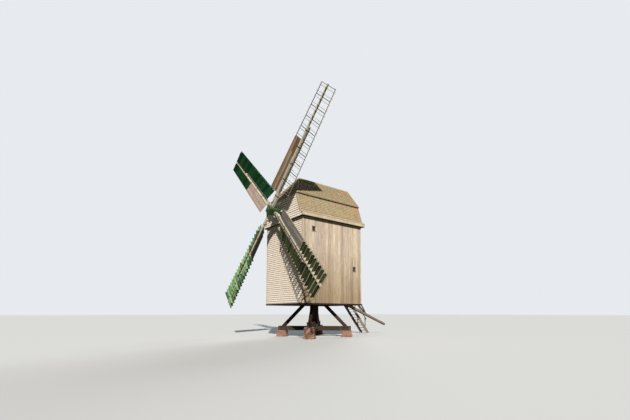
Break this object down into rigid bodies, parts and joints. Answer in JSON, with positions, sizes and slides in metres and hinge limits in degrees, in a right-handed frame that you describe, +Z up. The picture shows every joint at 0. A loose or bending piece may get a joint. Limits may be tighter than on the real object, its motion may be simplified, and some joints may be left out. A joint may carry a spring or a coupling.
{
  "type": "post mill windmill",
  "caption": "Timber post mill: a boarded body that turns on a braced trestle, with gambrel roof, louvred sails, rear stair and tail pole.",
  "frame": {"origin": "centre line of the main post at ground level, midway between the four brick piers", "axes": "+Z up, -Y towards the front with the sails, +X to the right for someone facing the front"},
  "size_m": [16.7744, 14.8476, 19.3337],
  "materials": {
    "brick": "rough fired brick with pale joints",
    "oak_timber": "dark weathered oak, tarred",
    "iron": "dull, greased at the journals",
    "floor_boards": "worn boards",
    "side_boards": "upright boards, weathered and streaked",
    "front_shingles": "pale weathered shingles",
    "roof_shingles": "weathered shingles with lichen",
    "eave_boards": "pale boards along the eave",
    "soffit_boards": "dark boards",
    "ridge_wood": "pale boards",
    "door_boards": "brown painted boards",
    "window_wood": "off-white paint",
    "glass": "dark pane",
    "stair_timber": "weathered boards",
    "green_iron": "green paint, chipped at the edges",
    "stock_timber": "pale grey paint",
    "whip_timber": "cream paint",
    "sail_boards": "brown weathered boards",
    "green_shutters": "green paint"
  },
  "bodies": {
    "trestle": {"brick_piers": "brick", "lower_cross_tree": "oak_timber", "upper_cross_tree": "oak_timber", "quarter_bars": "oak_timber", "main_post": "oak_timber", "post_pintle": "iron", "saddle_ring": "oak_timber"},
    "mill_body": {"crown_tree": "oak_timber", "floor_sheers": "oak_timber", "lower_floor": "floor_boards", "upper_floor": "floor_boards", "right_wall": "side_boards", "left_wall": "side_boards", "front_wall": "front_shingles", "rear_wall": "side_boards", "rear_door": "door_boards", "window_casements": "window_wood", "window_panes": "glass", "right_eave_flare": "eave_boards", "left_eave_flare": "eave_boards", "right_lower_slope": "roof_shingles", "left_lower_slope": "roof_shingles", "right_upper_slope": "roof_shingles", "left_upper_slope": "roof_shingles", "front_hip": "roof_shingles", "ridge_board": "ridge_wood", "front_gable": "front_shingles", "rear_gable": "side_boards", "roof_frames": "oak_timber", "eave_soffits": "soffit_boards", "shaft_beams": "oak_timber", "neck_bearing": "iron", "tail_bearing": "iron", "rear_platform": "stair_timber", "platform_brackets": "stair_timber", "stair_strings": "stair_timber", "stair_treads": "stair_timber", "stair_handrails": "stair_timber", "tail_pole": "oak_timber", "tail_pole_stays": "oak_timber"},
    "rotor": {"poll_end": "green_iron", "windshaft": "oak_timber", "sail_stocks": "stock_timber", "sail_whips": "whip_timber", "leading_boards": "sail_boards", "sail_1_shutters": "green_shutters", "sail_2_shutters": "green_shutters", "sail_3_shutters": "green_shutters", "sail_4_shutters": "green_shutters"}
  },
  "joints": [
    {"name": "body_yaw", "type": "hinge", "parent": "trestle", "child": "mill_body", "pos_m": [0, 0, 7], "axis": [0, 0, 1], "continuous": true},
    {"name": "rotor_spin", "type": "hinge", "parent": "mill_body", "child": "rotor", "pos_m": [0, -4.55, 10.94], "axis": [0, -0.9976, 0.0698], "continuous": true}
  ]
}
